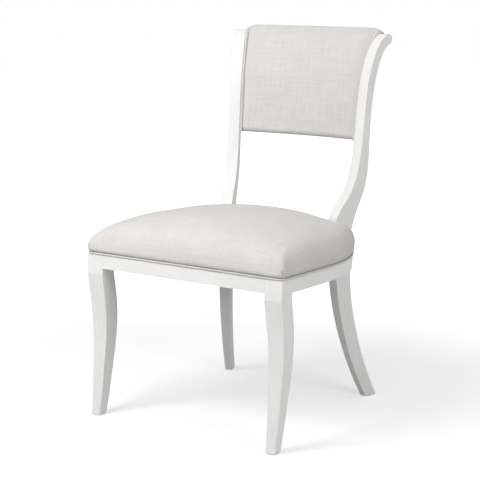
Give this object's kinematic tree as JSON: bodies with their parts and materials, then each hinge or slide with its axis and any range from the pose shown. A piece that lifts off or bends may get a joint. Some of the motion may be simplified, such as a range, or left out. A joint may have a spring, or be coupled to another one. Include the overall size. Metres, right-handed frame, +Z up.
{
  "type": "klismos dining chair",
  "caption": "Painted wooden klismos dining chair with sabre legs, raked scrolled back posts, a high crowned upholstered seat and a concave upholstered back pad.",
  "frame": {"origin": "on the floor under the middle of the chair's outer box", "axes": "+Z up, the chair's front faces -Y, +X is to the right seen from the front"},
  "size_m": [0.568, 0.6473, 0.975],
  "materials": {
    "painted_wood": "chalky white paint over wood, faint grain, softly worn edges",
    "beech": "planed bare beech",
    "plywood": "sanded bare plywood",
    "screw_steel": "zinc plated",
    "glide_nylon": "dark brown nylon glide",
    "woven_fabric": "warm pale grey linen weave with small slubs",
    "lining": "thin black bonded lining",
    "foam": "upholstery foam",
    "wadding": "white polyester wadding"
  },
  "bodies": {
    "root": {"front_leg_right": "painted_wood", "front_leg_left": "painted_wood", "front_rail": "painted_wood", "side_rail_right": "painted_wood", "side_rail_left": "painted_wood", "rear_corner_rail_right": "painted_wood", "rear_corner_rail_left": "painted_wood", "rear_rail": "painted_wood", "rear_leg_post_right": "painted_wood", "rear_leg_post_left": "painted_wood", "corner_block_front_right": "beech", "corner_block_front_left": "beech", "corner_block_rear_right": "beech", "corner_block_rear_left": "beech", "front_rail_dowels": "beech", "side_rail_dowels": "beech", "corner_rail_dowels": "beech", "rear_leg_dowels": "beech", "back_rail_dowels": "beech", "back_bottom_rail": "beech", "back_top_rail": "beech", "seat_deck": "plywood", "back_panel": "plywood", "seat_fixing_screws": "screw_steel", "corner_block_screws": "screw_steel", "glide_front_right": "glide_nylon", "glide_front_left": "glide_nylon", "glide_rear_right": "glide_nylon", "glide_rear_left": "glide_nylon", "seat_cover": "woven_fabric", "seat_welt": "woven_fabric", "back_cover": "woven_fabric", "back_welt_right": "woven_fabric", "back_welt_left": "woven_fabric", "outside_back": "woven_fabric", "seat_dust_cover": "lining", "seat_foam": "foam", "back_foam": "foam", "seat_wadding": "wadding"}
  },
  "joints": []
}
